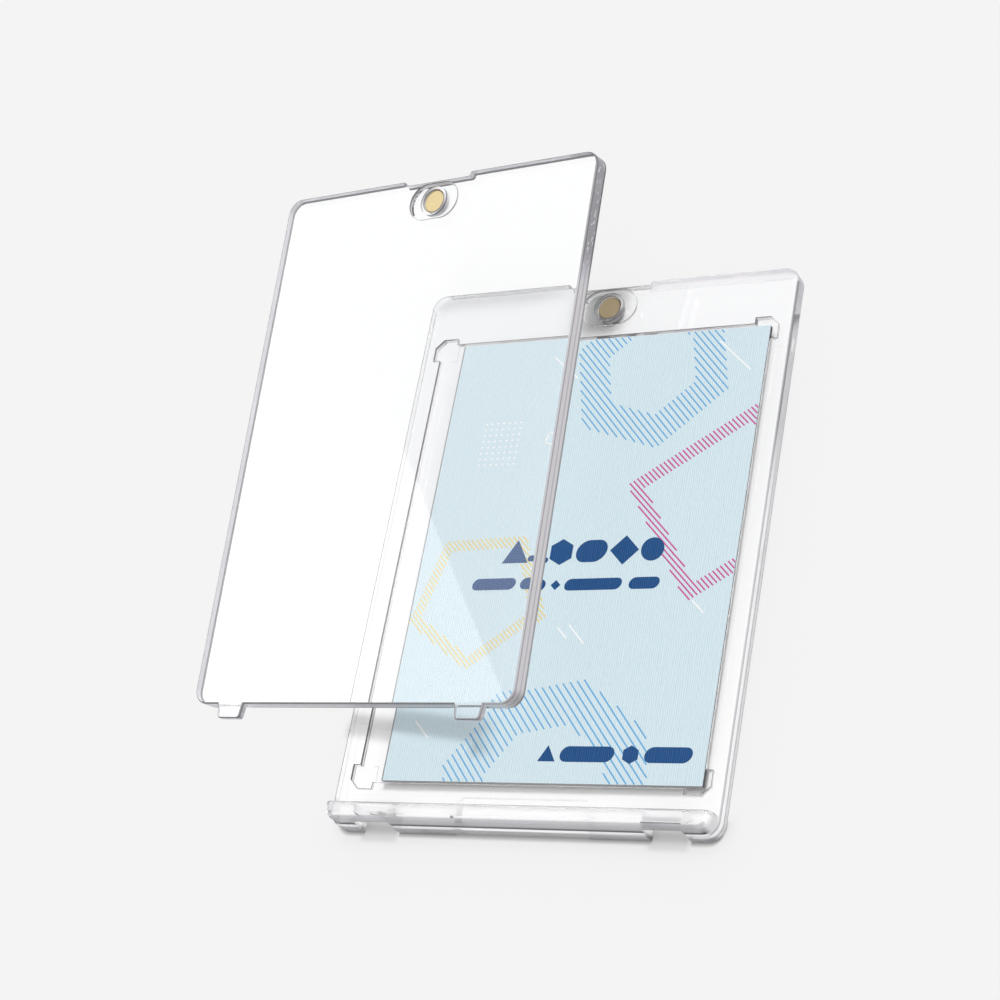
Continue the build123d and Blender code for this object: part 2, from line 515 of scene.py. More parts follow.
# how far something lies behind the front edge
BASE_DEPTH = SimpleNamespace(
    ledge=(0.5, 0.4),
    ledge_line=(0.6, 0.5),
    slot_edge=(0.9, 0.6),
    front=(1.7, 1.5),
    slot=(3.9, 3.75),
    far_side=(4.5, 6.0),
)
RECESS_SPAN = (0.05, 6.6)
RAIL_TOP_SPAN = (1.2, 3.5)
RAIL_REAR_SPAN = (3.3, 3.9)
# distances from the middle: along the base, to the left or right, and either way
LOW_END = (25.0, 0.0)
WIDE_RIM_PART = (12.0, 25.0)
LEFT_PART = (-30.0, -33.0)
RECESS_HALF = (13.6, 13.5)
SLOT_SPAN = (24.7, 32.7)
# the back edge: a soft line to the right of the thumb notch, under a pale grey band of painted shade
BACK_EDGE = (3.2, 2.8)
PAST_NOTCH = (7.5, 8.5)
EDGE_SHADE_DEPTH = (-0.3, 2.5)
EDGE_SHADE_SPAN = (8.3, 37.6)
# how much of the band of painted shade at the back, and of the rail's top, looks like wall
EDGE_SHADE_SHARE = 0.55
RAIL_TOP_SHARE = 0.6
BASE_TONE = SimpleNamespace(
    wall=1.0,
    right_lower=(0.76, 0.92),
    right_upper=(0.76, 1.0),
    middle_line=0.55,
    # the front faces away from the suns, and its rail and skirt are grey with painted shade
    rail_front=(0.34, 0.52),
    skirt=(0.30, 0.52),
    outer_line=0.20,
    right_outer_line=(0.30, 0.42),
    soft_back_line=0.62,
    inner_line=0.30,
    right_inner_line=0.04,
    left_inner_line=0.20,
    pocket_line=0.60,
    rail_rear=0.40,
    ledge=1.0,
    ledge_line=0.06,
    slot=1.0,
    slot_edge=0.35,
    rail_top=1.0,
    # the band of painted shade along the back edge
    edge_shade=0.82,
)
# how much of the frost is taken off
RECESS_CLEARED = 0.9
SLOT_CLEARED = 0.6
GAP_CLEARED = 0.8
FAR_SIDE_CLEARED = 0.85


def base_places(tree, spot):
    """A mask for each part of the base that has a look of its own."""
    up, wide, from_front = spot.up, spot.wide, spot.from_front
    at = SimpleNamespace()
    at.low_end = ramp(tree, spot.along, *LOW_END)
    at.left = ramp(tree, spot.across, *LEFT_PART)
    at.right_wall = all_of(tree, spot.right, spot.outline)
    at.front = all_of(tree, ramp(tree, from_front, *BASE_DEPTH.front), ramp(tree, spot.side, *NOT_ASIDE))

    wide_rim = all_of(tree, within(tree, up, *BASE_BAND.wide_rim), at.right_wall)
    wide_rim = all_of(tree, wide_rim, ramp(tree, spot.along, *WIDE_RIM_PART))
    left_rim = all_of(tree, within(tree, up, *BASE_BAND.left_rim), at.left)
    at.rim = any_of(tree, within(tree, up, *BASE_BAND.rim), wide_rim, left_rim)
    at.pocket_line = all_of(
        tree, within(tree, up, *BASE_BAND.pocket_line), none_of(tree, spot.outline)
    )
    at.rail_rear = all_of(
        tree, within(tree, up, *BASE_BAND.rail_rear), within(tree, from_front, *RAIL_REAR_SPAN)
    )
    at.rail_top = all_of(
        tree, within(tree, from_front, *RAIL_TOP_SPAN, 0.3), ramp(tree, up, *BASE_HEIGHT.rail_top),
        ramp(tree, spot.level, *reversed(ROUNDED)),
    )
    at.ledge = all_of(
        tree, within(tree, up, *BASE_BAND.ledge), ramp(tree, from_front, *BASE_DEPTH.ledge)
    )
    at.ledge_line = all_of(
        tree, within(tree, up, *BASE_BAND.ledge_line), ramp(tree, from_front, *BASE_DEPTH.ledge_line)
    )

    in_slot = all_of(
        tree, within(tree, wide, *SLOT_SPAN),
        ramp(tree, from_front, *BASE_DEPTH.slot), ramp(tree, up, *BASE_HEIGHT.slot),
    )
    front_face = all_of(tree, at.front, ramp(tree, spot.end, *ENDWAYS))
    at.slot_wall = all_of(tree, in_slot, none_of(tree, front_face))
    at.slot_edge = all_of(tree, ramp(tree, from_front, *BASE_DEPTH.slot_edge), spot.side)
    at.recess = all_of(
        tree, ramp(tree, wide, *RECESS_HALF), ramp(tree, up, *BASE_HEIGHT.recess),
        within(tree, from_front, *RECESS_SPAN, 0.02),
    )
    at.edge_shade = all_of(
        tree, within(tree, spot.from_back, *EDGE_SHADE_DEPTH, 0.4), within(tree, spot.across, *EDGE_SHADE_SPAN, 0.2),
        ramp(tree, up, *BASE_HEIGHT.edge_shade),
    )
    at.gap = all_of(tree, at.low_end, within(tree, up, *BASE_BAND.gap, 0.1), at.right_wall)
    # the left wall, except where the camera sees it directly
    at.far_side = all_of(
        tree, at.left, spot.outline, ramp(tree, up, *BASE_HEIGHT.far_side),
        ramp(tree, from_front, *BASE_DEPTH.far_side), none_of(tree, ray(tree, "Is Camera Ray")),
    )
    return at


def right_wall_tone(tree, spot, at):
    """Two bands that part towards the low end, with a line between them there, in painted shade and
    reflection.
    """
    lower = turned_to(tree, at.low_end, *BASE_TONE.right_lower)
    upper = turned_to(tree, at.low_end, *BASE_TONE.right_upper)
    bands = turned_to(tree, ramp(tree, spot.up, *BASE_HEIGHT.upper_half), lower, upper)
    line = all_of(tree, at.low_end, within(tree, spot.up, *BASE_BAND.middle_line, 0.1))
    return turned_to(tree, line, bands, BASE_TONE.middle_line)


def front_painted_shade(tree, spot):
    """Painted shade on the front, which faces away from the suns: a rail lighter towards its top, over a
    mottled skirt.
    """
    rail = ramp(tree, spot.up, *BASE_HEIGHT.rail_front, *BASE_TONE.rail_front)
    skirt = turned_to(tree, spot.mottle, *BASE_TONE.skirt)
    return turned_to(tree, ramp(tree, spot.up, *BASE_HEIGHT.skirt), rail, skirt)


def rim_tone(tree, spot, at):
    """A thin dark line of painted shade and reflection along each rim, lightest at the back and darkest
    within the right side.
    """
    at_back = ramp(tree, spot.from_back, *BACK_EDGE)
    soft_back = all_of(tree, at_back, ramp(tree, spot.across, *PAST_NOTCH))
    right_line = turned_to(tree, at.low_end, *BASE_TONE.right_outer_line)
    outer = turned_to(tree, spot.right, BASE_TONE.outer_line, right_line)
    outer = turned_to(tree, soft_back, outer, BASE_TONE.soft_back_line)
    inner = turned_to(tree, spot.right, BASE_TONE.inner_line, BASE_TONE.right_inner_line)
    inner = turned_to(tree, at.left, inner, BASE_TONE.left_inner_line)
    return turned_to(tree, spot.outline, inner, outer)


def base_paint(tree, spot):
    """White walls with a thin dark line at each rim, a banded right side and a grey front: painted shade and
    reflection, with random mottling.
    """
    at = base_places(tree, spot)
    tone = BASE_TONE.wall
    for mask, layer_tone in (
        (at.right_wall, right_wall_tone(tree, spot, at)),
        (at.front, front_painted_shade(tree, spot)),
        (at.rim, rim_tone(tree, spot, at)),
        (at.pocket_line, BASE_TONE.pocket_line),
        (at.rail_rear, BASE_TONE.rail_rear),
        (at.ledge, BASE_TONE.ledge),
        (at.ledge_line, BASE_TONE.ledge_line),
        (at.slot_wall, turned_to(tree, at.slot_edge, BASE_TONE.slot, BASE_TONE.slot_edge)),
        (at.rail_top, BASE_TONE.rail_top),
        (at.edge_shade, BASE_TONE.edge_shade),
    ):
        tone = turned_to(tree, mask, tone, layer_tone)

    rims = all_of(tree, any_of(tree, at.rim, at.rail_rear), ramp(tree, spot.level, *ROUNDED))
    is_wall = any_of(
        tree,
        ramp(tree, spot.level, *UPRIGHT),
        rims,
        all_of(tree, at.front, ramp(tree, spot.level, *LEANING)),
        at.ledge,
        all_of(tree, at.edge_shade, EDGE_SHADE_SHARE),
        all_of(tree, at.rail_top, RAIL_TOP_SHARE),
    )
    unfrosted = any_of(
        tree,
        all_of(tree, at.recess, RECESS_CLEARED),
        all_of(tree, at.slot_wall, SLOT_CLEARED),
        all_of(tree, at.gap, GAP_CLEARED),
        all_of(tree, at.far_side, FAR_SIDE_CLEARED),
    )
    return is_wall, tone, unfrosted, BASE_LEAST_FROST


# %% The base's shadow
FOOT_HEIGHT = (2.5, 0.75)
FOOT_REACH = (4.2, 3.8)
LIP_REACH = (1.6, 0.6)
FOOT_SHADE = 0.10
# a slot's roof darkens bounced light and light steeper than this in full, and the rest by half
ROOF_STEEPNESS = 0.038
ROOF_SHARE = 0.5
# painted shadow of the cover on the base: round its magnet, and in a strip along its back
BACK_SHADE = 0.56
BACK_SHADE_REACH = (11.5, 7.5)
BACK_SHADE_SPAN = (-6.5, 1.5)
STRIP_REACH = (3.5, 0.5)
STRIP_START = (-5.0, -16.0)
STRIP_SHARE = 0.30


def base_shadow(tree, spot):
    """Painted shadow: dark at the foot of the front, under the slots' roofs, and, as the cover's shadow,
    round the magnet and along the back.
    """
    at_front = ramp(tree, spot.from_front, *FOOT_REACH)
    lip = any_of(tree, all_of(tree, spot.is_wall, at_front), ramp(tree, spot.from_front, *LIP_REACH))
    below = any_of(tree, steepness(tree, ROOF_STEEPNESS), ray(tree, "Is Diffuse Ray"), ROOF_SHARE)
    roof = all_of(tree, within(tree, spot.up, *BASE_BAND.slot_roof), at_front, below)
    foot = any_of(tree, all_of(tree, ramp(tree, spot.up, *FOOT_HEIGHT), lip), roof)
    round_magnet = all_of(
        tree, ramp(tree, spot.from_back, *BACK_SHADE_REACH), within(tree, spot.across, *BACK_SHADE_SPAN, 3.0)
    )
    strip = all_of(
        tree, ramp(tree, spot.from_back, *STRIP_REACH), ramp(tree, spot.across, *STRIP_START), STRIP_SHARE
    )
    clear = turned_to(tree, foot, 1.0, FOOT_SHADE)
    return all_of(tree, clear, turned_to(tree, any_of(tree, round_magnet, strip), 1.0, BACK_SHADE))


give("base_shell", clear_plastic(
    "clear_base_plastic", BASE_MIDDLE, LEVEL, BASE_LENGTH / 2, BASE_TINT_AND_SHADE, base_paint, base_shadow,
))

# %% [markdown]
# ## Plated magnets
#
# Each magnet is a pressed disc with a pale gold plating. The base's magnet is given a darker gold,
# a painted shade, since it lies in the cover's shadow. The plating follows the die marks of the
# disc, which are faint rings and specks, so the bump is a mix of both.

# %% Plating
PALE_GOLD = (0.565, 0.463, 0.257, 1.0)
# the base magnet's gold, darkened as painted shade
GOLD_IN_PAINTED_SHADE = (0.237, 0.190, 0.120, 1.0)
WORN_SHARE = 0.82
RINGS_PER_MM = 21.0 / (2 * math.pi)
PLATING_RELIEF = 0.01
BASE_MAGNET_MIDDLE = (0, 51.2, 2.88)
COVER_MAGNET_FROM_BACK = 5.14
MAGNET_SETBACK = 0.36


def plating(name, middle, turn, colour):
    """Pale gold plating with faint rings about the disc's own middle."""
    material, tree = new_finish(name)
    place = placed(tree, middle, turn)
    across, along, _ = split(tree, place)
    squares = sums(tree, "ADD", sums(tree, "POWER", across, 2.0), sums(tree, "POWER", along, 2.0))
    turns = sums(tree, "MULTIPLY", sums(tree, "SQRT", squares), 2 * math.pi * RINGS_PER_MM)
    specks = noise(tree, place, 3.2, 4.0, 0.65)
    height = sums(tree, "MULTIPLY_ADD", sums(tree, "SINE", turns), 0.15, specks)
    worn = tuple(WORN_SHARE * c for c in colour[:3]) + (1.0,)
    shader = step(tree, "ShaderNodeBsdfPrincipled", {
        "Metallic": 1.0,
        "Base Color": blend(tree, ramp(tree, specks, 0.35, 0.7), colour, worn),
        "Roughness": sums(tree, "MULTIPLY_ADD", specks, 0.2, 0.26),
        "Normal": relief(tree, height, PLATING_RELIEF, 0.6),
    })
    show(tree, shader.outputs[0])
    return material


magnet_in_cover = Vector((0, COVER_LENGTH / 2 - COVER_MAGNET_FROM_BACK, -MAGNET_SETBACK))
cover_magnet_middle = Vector(COVER_PLACE) + COVER_TURN @ magnet_in_cover
give("cover_magnet", plating("cover_magnet_plating", tuple(cover_magnet_middle), COVER_TURN, PALE_GOLD))
# its shadow would be a round spot on the base, with nothing near it to explain it
nodes["cover_magnet"].visible_shadow = False
# the base's magnet in the darker gold of painted shade
give("base_magnet", plating("base_magnet_plating", BASE_MAGNET_MIDDLE, LEVEL, GOLD_IN_PAINTED_SHADE))

# %% [markdown]
# ## The card
#
# The card is stiff board, printed pale blue on its face and pressed with a fine linen grain that
# runs along its length. The grain is a sine wave across the card that a slow noise pushes to and
# fro, so that its threads are even but not ruled. The colour and the bump both come from it.

# %% Card stock
CARD_MIDDLE = (2.46, -0.09, 3.08)
CARD_BLUE = (0.560, 0.700, 0.765, 1.0)
CARD_PALE = (0.690, 0.805, 0.855, 1.0)
# a grey line along the left edge of the card's face
CARD_LEFT_LINE = (0.27, 0.26, 0.27, 1.0)
# painted shade on the card's ends and long sides, whose board is pale
CARD_END_SHADE = (0.52, 0.52, 0.53, 1.0)
CARD_SIDE_SHADE = (0.12, 0.12, 0.13, 1.0)
THREAD_PITCH = 0.42
THREAD_WANDER = 9.0
LINEN_RELIEF = 0.02
# millimetres from the card's middle: a grey line along its left edge, and its long sides
LEFT_LINE_SPAN = (-31.45, -31.55)
SIDE_WALL = (31.5, 31.7)


def linen_height(tree, place):
    """Even threads along the card's length that wander a little, with uneven patches between them."""
    wander = noise(tree, stretched(tree, place, (0.9, 0.12, 0.0)), 1.0)
    shift = sums(tree, "MULTIPLY", wander, THREAD_WANDER)
    across = split(tree, place)[0]
    phase = sums(tree, "MULTIPLY_ADD", across, 2 * math.pi / THREAD_PITCH, shift)
    threads = sums(tree, "MULTIPLY_ADD", sums(tree, "SINE", phase), 0.5, 0.5)
    weave = noise(tree, stretched(tree, place, (2.2, 1.1, 0.0)), 1.0, 3.0, 0.6)
    return sums(tree, "MULTIPLY_ADD", weave, 0.55, sums(tree, "MULTIPLY", threads, 0.45))


def card_stock():
    """Pale blue linen on the face, with dark long sides and grey ends that are painted shade."""
    material, tree = new_finish("linen_card_stock")
    place = placed(tree, CARD_MIDDLE)
    linen = linen_height(tree, place)
    across = split(tree, place)[0]
    face = blend(tree, ramp(tree, linen, 0.22, 0.78), CARD_BLUE, CARD_PALE)
    face = blend(tree, ramp(tree, across, *LEFT_LINE_SPAN), face, CARD_LEFT_LINE)
    at_side = ramp(tree, sums(tree, "ABSOLUTE", across), *SIDE_WALL)
    upward = split(tree, true_normal(tree))[2]
    walls = blend(tree, at_side, CARD_END_SHADE, CARD_SIDE_SHADE)
    shader = step(tree, "ShaderNodeBsdfPrincipled", {
        "Base Color": blend(tree, ramp(tree, upward, 0.3, 0.7), walls, face),
        "Roughness": 0.62,
        "Specular IOR Level": 0.35,
        "Normal": relief(tree, linen, LINEN_RELIEF),
    })
    show(tree, shader.outputs[0])
    return material


give("card", card_stock())

# %% [markdown]
# ## The print on the card
#
# The print is hatched frames, small marks and dark blue shapes. It could be drawn inside
# the card's material, but flat ink has crisp outlines, and a map baked from the material would blur
# them. So the ink is a mesh a hundredth of a millimetre thick. A hatched frame is the same line
# repeated and cut off by an outline, which is a rule, so Geometry Nodes draws it: it lays a field of
# parallel lines, keeps the points that lie between two polygons, and gives each run a flat section.

# %% Ink
INK_LIFT = 0.004
TOP_INK_LIFT = 0.02
INK_THICKNESS = 0.012
CARD_HALF_WIDTH = 31.75
CARD_HALF_LENGTH = 44.45
INK_BLUE = (0.125, 0.420, 0.740, 1.0)
INK_PINK = (0.640, 0.090, 0.330, 1.0)
INK_YELLOW = (0.860, 0.700, 0.300, 1.0)
INK_WHITE = (0.930, 0.935, 0.940, 1.0)
INK_NAVY = (0.004, 0.062, 0.205, 1.0)


def ink(name, colour, wear=0.12):
    """Printer's ink that lets the linen grain show through a little."""
    material, tree = new_finish(name)
    linen = linen_height(tree, placed(tree, CARD_MIDDLE))
    worn = tuple(c + wear * (p - c) for c, p in zip(colour[:3], CARD_PALE[:3])) + (1.0,)
    shader = step(tree, "ShaderNodeBsdfPrincipled", {
        "Base Color": blend(tree, ramp(tree, linen, 0.42, 0.68), colour, worn),
        "Roughness": 0.5,
        "Specular IOR Level": 0.15,
        "Normal": relief(tree, linen, LINEN_RELIEF),
    })
    show(tree, shader.outputs[0])
    return material


inks = {
    "blue": ink("blue_ink", INK_BLUE),
    "pink": ink("pink_ink", INK_PINK),
    "yellow": ink("yellow_ink", INK_YELLOW),
    "white": ink("white_ink", INK_WHITE),
    "navy": ink("navy_ink", INK_NAVY, 0.03),
}
print("inks:", ", ".join(inks))


# %% Helpers for Geometry Nodes
def new_rule(name, numbers, counts=()):
    """A geometry tree that takes an ink, numbers and whole counts, and the sockets they come from."""
    tree = bpy.data.node_groups.new(name, "GeometryNodeTree")
    inputs = {"Geometry": "NodeSocketGeometry", "Ink": "NodeSocketMaterial"}
    inputs.update({label: "NodeSocketFloat" for label in numbers})
    inputs.update({label: "NodeSocketInt" for label in counts})
    for label, kind in inputs.items():
        tree.interface.new_socket(label, in_out="INPUT", socket_type=kind)
    tree.interface.new_socket("Geometry", in_out="OUTPUT", socket_type="NodeSocketGeometry")
    return tree, tree.nodes.new("NodeGroupInput").outputs


def vector(tree, x=0.0, y=0.0, z=0.0):
    """A Combine XYZ node."""
    return step(tree, "ShaderNodeCombineXYZ", {"X": x, "Y": y, "Z": z}).outputs[0]


def onto_card(tree, geometry, finish):
    """Millimetres about the card's middle become metres on its face, and the ink goes on last."""
    lift = Vector(CARD_MIDDLE) + Vector((0, 0, INK_LIFT + INK_THICKNESS / 2))
    to_metres = {"Geometry": geometry, "Translation": lift * MM, "Scale": (MM, MM, MM)}
    moved = step(tree, "GeometryNodeTransform", to_metres)
    whole = step(tree, "GeometryNodeRealizeInstances", {"Geometry": moved.outputs[0]})
    inked = step(tree, "GeometryNodeSetMaterial", {"Geometry": whole.outputs[0], "Material": finish})
    end = tree.nodes.new("NodeGroupOutput")
    tree.links.new(inked.outputs[0], end.inputs[0])


def drawn(name, tree, values):
    """Runs a rule with those values and keeps the result as a plain mesh that rides on the card."""
    piece = new_object(name, bpy.data.meshes.new(name))
    modifier = piece.modifiers.new("rule", "NODES")
    modifier.node_group = tree
    for socket in tree.interface.items_tree:
        if socket.in_out == "INPUT" and socket.name in values:
            modifier[socket.identifier] = values[socket.name]
    graph = bpy.context.evaluated_depsgraph_get()
    result = bpy.data.meshes.new_from_object(piece.evaluated_get(graph))
    piece.modifiers.remove(modifier)
    piece.data = result
    result.name = name
    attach(piece, "card")
    low = [round(min(v.co[i] for v in result.vertices) / MM, 3) for i in range(3)]
    high = [round(max(v.co[i] for v in result.vertices) / MM, 3) for i in range(3)]
    print(name, len(result.polygons), "faces, mm", low, high)
    return piece


# %% The rule for a hatched frame
HATCH_NUMBERS = (
    "Across", "Along", "Radius", "Band", "Corners", "Turn", "Pitch", "Stroke", "Slant",
)
FINE_STEP = 0.05
CARD_MARGIN = 0.05


def along_line(tree, count, start, offset):
    """A row of points."""
    row = {"Count": count, "Start Location": start, "Offset": offset}
    return step(tree, "GeometryNodeMeshLine", row).outputs[0]


def hatch_field(tree, given):
    """Rows of fine points, turned to the hatching's slant about the frame's middle."""
    width = sums(tree, "MULTIPLY", given["Radius"], 2.0)
    back = sums(tree, "MULTIPLY", given["Radius"], -1.0)
    row_count = sums(tree, "ADD", sums(tree, "DIVIDE", width, given["Pitch"]), 1.0)
    rows = along_line(tree, row_count, vector(tree, 0.0, back), vector(tree, 0.0, given["Pitch"]))
    fine_count = sums(tree, "ADD", sums(tree, "DIVIDE", width, FINE_STEP), 1.0)
    line = along_line(tree, fine_count, vector(tree, back), vector(tree, FINE_STEP))
    field = step(tree, "GeometryNodeInstanceOnPoints", {"Points": rows, "Instance": line})
    field = step(tree, "GeometryNodeRealizeInstances", {"Geometry": field.outputs[0]})
    turned = {
        "Geometry": field.outputs[0],
        "Translation": vector(tree, given["Across"], given["Along"]),
        "Rotation": vector(tree, 0.0, 0.0, given["Slant"]),
    }
    return step(tree, "GeometryNodeTransform", turned).outputs[0]


def outside_frame(tree, given):
    """1 at points that aren't between the two polygons, or that lie off the card."""
    place = split(tree, step(tree, "GeometryNodeInputPosition").outputs[0])
    x = sums(tree, "SUBTRACT", place[0], given["Across"])
    y = sums(tree, "SUBTRACT", place[1], given["Along"])
    squares = sums(tree, "ADD", sums(tree, "MULTIPLY", x, x), sums(tree, "MULTIPLY", y, y))
    away = sums(tree, "SQRT", squares)
    angle = sums(tree, "SUBTRACT", sums(tree, "ARCTAN2", y, x), given["Turn"])
    sector = sums(tree, "DIVIDE", 2 * math.pi, given["Corners"])
    nearest = sums(tree, "MULTIPLY", sector, sums(tree, "ROUND", sums(tree, "DIVIDE", angle, sector)))
    to_side = sums(tree, "MULTIPLY", away, sums(tree, "COSINE", sums(tree, "SUBTRACT", angle, nearest)))
    flatness = sums(tree, "COSINE", sums(tree, "MULTIPLY", sector, 0.5))
    depth = sums(tree, "SUBTRACT", sums(tree, "MULTIPLY", given["Radius"], flatness), to_side)
    kept = all_of(
        tree,
        sums(tree, "GREATER_THAN", depth, 0.0),
        sums(tree, "LESS_THAN", depth, given["Band"]),
        sums(tree, "LESS_THAN", sums(tree, "ABSOLUTE", place[0]), CARD_HALF_WIDTH - CARD_MARGIN),
        sums(tree, "LESS_THAN", sums(tree, "ABSOLUTE", place[1]), CARD_HALF_LENGTH - CARD_MARGIN),
    )
    return sums(tree, "LESS_THAN", kept, 0.5)


def hatch_rule():
    """Parallel lines kept only between two regular polygons, and only on the card."""
    tree, given = new_rule("hatched_frame", HATCH_NUMBERS)
    cut = {"Geometry": hatch_field(tree, given), "Selection": outside_frame(tree, given)}
    runs = step(tree, "GeometryNodeDeleteGeometry", cut, domain="POINT")
    strokes = step(tree, "GeometryNodeMeshToCurve", {"Mesh": runs.outputs[0]})
    strokes = step(tree, "GeometryNodeResampleCurve", {"Curve": strokes.outputs[0], "Count": 2})
    strokes = step(tree, "GeometryNodeSetCurveNormal", {"Curve": strokes.outputs[0]}, mode="Z_UP")
    flat = {"Width": given["Stroke"], "Height": INK_THICKNESS}
    section = step(tree, "GeometryNodeCurvePrimitiveQuadrilateral", flat)
    sweep = {"Curve": strokes.outputs[0], "Profile Curve": section.outputs[0], "Fill Caps": True}
    onto_card(tree, step(tree, "GeometryNodeCurveToMesh", sweep).outputs[0], given["Ink"])
    return tree


hatched_frame = hatch_rule()
print("hatched_frame has", len(hatched_frame.nodes), "nodes")

# %% Hatched frames
# name, ink, across, along, radius, band, corners, turn, pitch, stroke, slant (degrees)
FRAMES = (
    ("print_blue_hexagon", "blue", 9.0, 37.0, 17.0, 6.2, 6, 12, 1.02, 0.26, -48),
    ("print_blue_octagon", "blue", 1.5, -46.0, 21.5, 8.2, 8, 10, 1.20, 0.27, -50),
    ("print_pink_square", "pink", 27.5, 9.0, 20.0, 2.7, 4, 33, 0.80, 0.30, -45),
    ("print_yellow_pentagon", "yellow", -18.0, -9.0, 14.5, 2.2, 5, 20, 0.72, 0.30, -45),
)
for name, tone, across, along, radius, band, corners, turn_deg, pitch, stroke, slant in FRAMES:
    drawn(name, hatched_frame, {
        "Ink": inks[tone], "Across": across, "Along": along, "Radius": radius, "Band": band,
        "Corners": float(corners), "Turn": math.radians(turn_deg), "Pitch": pitch, "Stroke": stroke,
        "Slant": math.radians(slant),
    })

# %% [markdown]
# ## Small marks
#
# A block of tiny diamonds is one mark on a grid of points, so a second, shorter rule draws it. The
# other marks are few and each is different, so bmesh extrudes their outlines: thin white strokes,
# an open square, and rows of dark blue shapes where a card has its heading.

# %% The rule for a block of marks
BLOCK_NUMBERS = ("Across", "Along", "Pitch", "Size")
BLOCK_COUNTS = ("Columns", "Rows")


def block_rule():
    """A diamond on each point of a grid."""
    tree, given = new_rule("block_of_marks", BLOCK_NUMBERS, BLOCK_COUNTS)
    columns, rows, pitch = given["Columns"], given["Rows"], given["Pitch"]
    grid = {
        "Size X": sums(tree, "MULTIPLY", pitch, sums(tree, "SUBTRACT", columns, 1.0)),
        "Size Y": sums(tree, "MULTIPLY", pitch, sums(tree, "SUBTRACT", rows, 1.0)),
        "Vertices X": columns,
        "Vertices Y": rows,
    }
    points = step(tree, "GeometryNodeMeshGrid", grid).outputs["Mesh"]
    diamond = {"Vertices": 4, "Radius": given["Size"], "Depth": INK_THICKNESS}
    mark = step(tree, "GeometryNodeMeshCylinder", diamond).outputs["Mesh"]
    marks = step(tree, "GeometryNodeInstanceOnPoints", {"Points": points, "Instance": mark}).outputs[0]
    moved = {"Geometry": marks, "Translation": vector(tree, given["Across"], given["Along"])}
    onto_card(tree, step(tree, "GeometryNodeTransform", moved).outputs[0], given["Ink"])
    return tree


drawn("print_white_diamonds", block_rule(), {
    "Ink": inks["white"], "Across": -19.5, "Along": 22.5, "Columns": 7, "Rows": 8,
    "Pitch": 1.25, "Size": 0.28,
})


# %% Outlines
ROUND_STEPS = 12


def regular(corners, radius, middle, turn_deg=90.0):
    """The corners of a regular polygon."""
    points = []
    for k in range(corners):
        angle = math.radians(turn_deg) + 2 * math.pi * k / corners
        points.append((middle[0] + radius * math.cos(angle), middle[1] + radius * math.sin(angle)))
    return points


def pill(length, height, middle, lean=0.0):
    """A bar with round ends, leaning like an italic."""
    points = []
    for side, start in ((1, -90), (-1, 90)):
        for k in range(ROUND_STEPS + 1):
            angle = math.radians(start + 180 * k / ROUND_STEPS)
            x = side * (length - height) / 2 + height / 2 * math.cos(angle)
            y = height / 2 * math.sin(angle)
            points.append((middle[0] + x + lean * y, middle[1] + y))
    return points


def stroke_line(first, last, width):
    """A thin bar between two points."""
    (ax, ay), (bx, by) = first, last
    long = math.hypot(bx - ax, by - ay)
    nx, ny = -(by - ay) / long * width / 2, (bx - ax) / long * width / 2
    return [(ax + nx, ay + ny), (ax - nx, ay - ny), (bx - nx, by - ny), (bx + nx, by + ny)]


def printed(name, tone, outlines, lift=INK_LIFT):
    """Flat ink in those outlines, as one mesh on the card."""
    shape = bmesh.new()
    middle_x, middle_y, face_z = CARD_MIDDLE
    for outline in outlines:
        corners = [((middle_x + x) * MM, (middle_y + y) * MM, (face_z + lift) * MM) for x, y in outline]
        face = shape.faces.new([shape.verts.new(corner) for corner in corners])
        raised = bmesh.ops.extrude_face_region(shape, geom=[face])["geom"]
        top = [v for v in raised if isinstance(v, bmesh.types.BMVert)]
        bmesh.ops.translate(shape, verts=top, vec=(0, 0, INK_THICKNESS * MM))
    bmesh.ops.recalc_face_normals(shape, faces=shape.faces)
    piece = new_object(name, mesh_of(name, shape, inks[tone]))
    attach(piece, "card")
    print(name, len(piece.data.polygons), "faces")
    return piece


# %% White strokes and an open square
STROKE_WIDTH = 0.28
SQUARE_STROKE = 0.3
strokes = [
    stroke_line((22.0, 42.0), (29.0, 35.5), STROKE_WIDTH),
    stroke_line((-11.0, 40.5), (-6.5, 36.3), STROKE_WIDTH),
    stroke_line((24.5, -10.2), (27.0, -12.6), STROKE_WIDTH),
    stroke_line((1.0, -14.5), (4.6, -18.2), STROKE_WIDTH),
    stroke_line((-1.2, -15.0), (0.9, -17.1), STROKE_WIDTH),
    stroke_line((-27.0, -33.0), (-23.8, -36.2), STROKE_WIDTH),
]
ring = regular(4, 1.55, (-8.5, 23.0), 30.0)
open_square = [stroke_line(ring[k - 1], ring[k], SQUARE_STROKE) for k in (1, 2, 3, 0)]
printed("print_white_strokes", "white", strokes + open_square)

# %% Dark blue shapes
LEAN = 0.2
HEADING = [
    regular(3, 3.1, (-11.5, -0.9)),
    pill(3.2, 1.2, (-7.3, -1.6), LEAN),
    regular(6, 2.6, (-3.2, 0.0)),
    pill(6.2, 4.4, (3.0, 0.0), LEAN),
    regular(4, 2.9, (9.6, 0.0)),
    regular(24, 2.3, (15.2, 0.0)),
]
LINE_BELOW = [
    pill(9.0, 2.3, (-15.0, -6.6), LEAN),
    pill(4.2, 2.3, (-7.4, -6.6), LEAN),
    regular(4, 1.0, (-3.2, -6.6)),
    pill(11.5, 2.3, (4.4, -6.6), LEAN),
    pill(6.0, 2.3, (14.6, -6.6), LEAN),
]
FOOT_LINE = [
    regular(3, 2.0, (1.2, -39.4)),
    pill(10.5, 2.9, (9.0, -39.0), LEAN),
    regular(6, 1.7, (17.4, -39.0)),
    pill(9.0, 2.9, (24.6, -39.0), LEAN),
]
printed("print_navy_shapes", "navy", HEADING + LINE_BELOW + FOOT_LINE, TOP_INK_LIFT)

